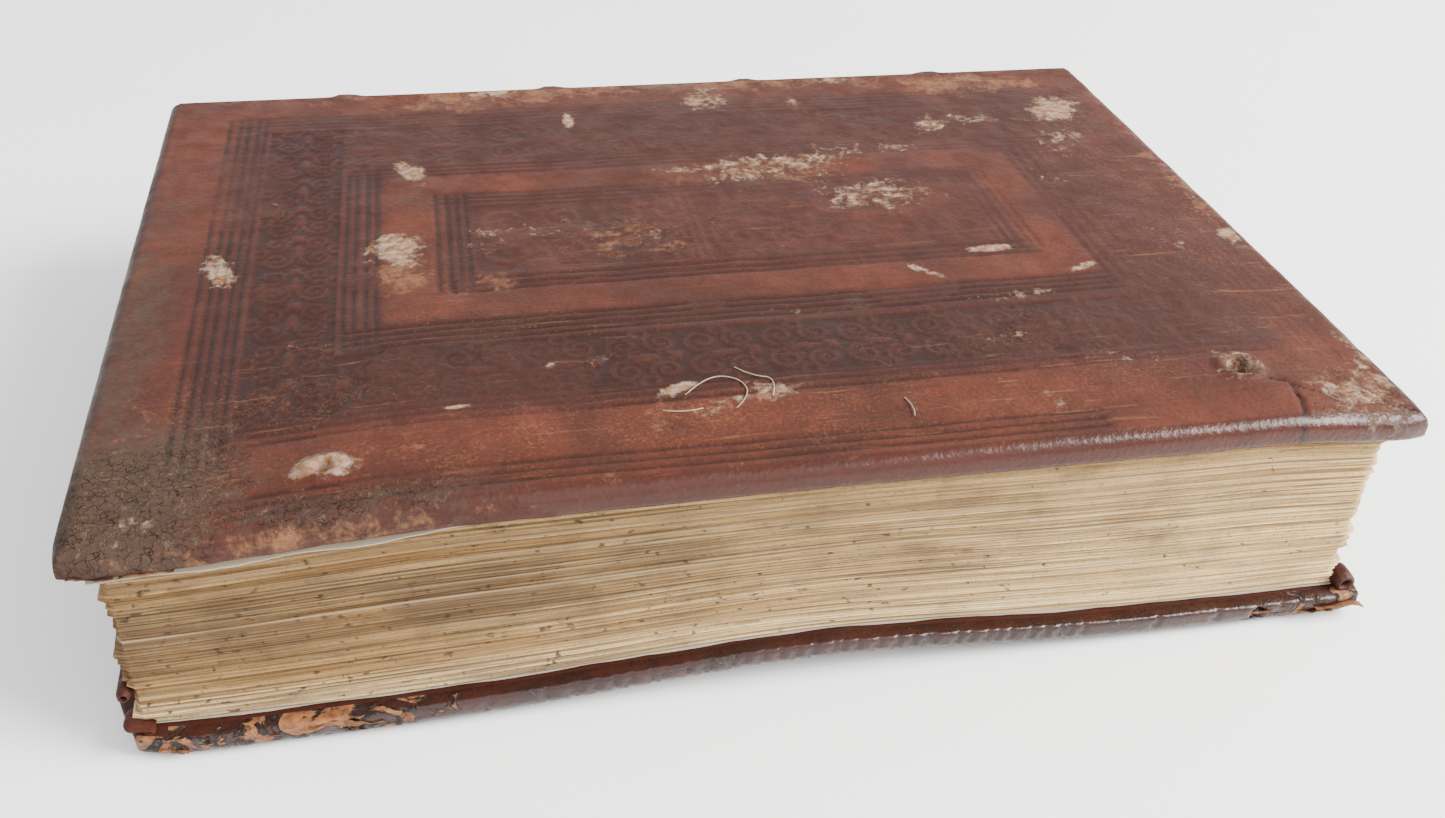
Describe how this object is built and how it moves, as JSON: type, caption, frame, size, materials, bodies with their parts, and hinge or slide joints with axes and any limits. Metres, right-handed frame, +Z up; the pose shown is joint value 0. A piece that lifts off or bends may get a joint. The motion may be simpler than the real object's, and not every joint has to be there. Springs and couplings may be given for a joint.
{
  "type": "leather-bound prayer book",
  "caption": "Thick closed book in tooled leather over wooden boards, sewn on raised cords, with covers, flyleaves and text block that open on hinge joints.",
  "frame": {"origin": "under the middle of the closed book, on the face it rests on", "axes": "+X along the height of the book, +Y from the fore-edge to the spine, +Z up through its thickness"},
  "size_m": [0.204, 0.1512, 0.043],
  "materials": {
    "cover_leather": "worn, blind-tooled, dull shine",
    "leaves": "aged rag paper, matt",
    "endpaper": "aged rag paper, matt",
    "board_wood": "planed beech, unfinished",
    "peg_wood": "split wood",
    "hemp_cord": "twisted hemp, matt",
    "linen_thread": "waxed linen thread",
    "linen_cloth": "coarse linen, glued",
    "endband_silk": "worked thread over a cord core"
  },
  "bodies": {
    "lower_cover": {"lower_board": "board_wood", "lower_cover_leather": "cover_leather", "lower_pastedown": "endpaper", "lower_cord_slips": "hemp_cord", "lower_cord_pegs": "peg_wood"},
    "lower_flyleaf": {"lower_flyleaf": "endpaper"},
    "lower_half": {"gathering_01": "leaves", "gathering_02": "leaves", "gathering_03": "leaves", "gathering_04": "leaves", "gathering_05": "leaves", "gathering_06": "leaves", "gathering_07": "leaves", "gathering_08": "leaves", "gathering_09": "leaves", "gathering_10": "leaves", "gathering_11": "leaves", "gathering_12": "leaves", "lower_sewing_thread": "linen_thread", "lower_sewing_cords": "hemp_cord", "lower_spine_lining": "linen_cloth", "lower_spine_leather": "cover_leather", "lower_head_endband": "endband_silk", "lower_tail_endband": "endband_silk"},
    "upper_half": {"gathering_13": "leaves", "gathering_14": "leaves", "gathering_15": "leaves", "gathering_16": "leaves", "gathering_17": "leaves", "gathering_18": "leaves", "gathering_19": "leaves", "gathering_20": "leaves", "gathering_21": "leaves", "gathering_22": "leaves", "gathering_23": "leaves", "gathering_24": "leaves", "upper_sewing_thread": "linen_thread", "upper_sewing_cords": "hemp_cord", "upper_spine_lining": "linen_cloth", "upper_spine_leather": "cover_leather", "upper_head_endband": "endband_silk", "upper_tail_endband": "endband_silk"},
    "upper_flyleaf": {"upper_flyleaf": "endpaper"},
    "upper_cover": {"upper_board": "board_wood", "upper_cover_leather": "cover_leather", "upper_pastedown": "endpaper", "upper_cord_slips": "hemp_cord", "upper_cord_pegs": "peg_wood"}
  },
  "joints": [
    {"name": "lower_cover_joint", "type": "hinge", "parent": "lower_cover", "child": "lower_flyleaf", "pos_m": [0, 0.06835, 0], "axis": [-1, 0, 0], "range_deg": [0, 80]},
    {"name": "lower_flyleaf_turn", "type": "hinge", "parent": "lower_flyleaf", "child": "lower_half", "pos_m": [0, 0.06835, 0], "axis": [-1, 0, 0], "range_deg": [0, 80]},
    {"name": "middle_opening", "type": "hinge", "parent": "lower_half", "child": "upper_half", "pos_m": [0, 0.07565, 0.0215], "axis": [1, 0, 0], "range_deg": [-165, 0]},
    {"name": "upper_flyleaf_turn", "type": "hinge", "parent": "upper_half", "child": "upper_flyleaf", "pos_m": [0, 0.06835, 0.043], "axis": [-1, 0, 0], "range_deg": [0, 165]},
    {"name": "upper_cover_joint", "type": "hinge", "parent": "upper_flyleaf", "child": "upper_cover", "pos_m": [0, 0.06835, 0.043], "axis": [1, 0, 0], "range_deg": [-170, 0]}
  ]
}
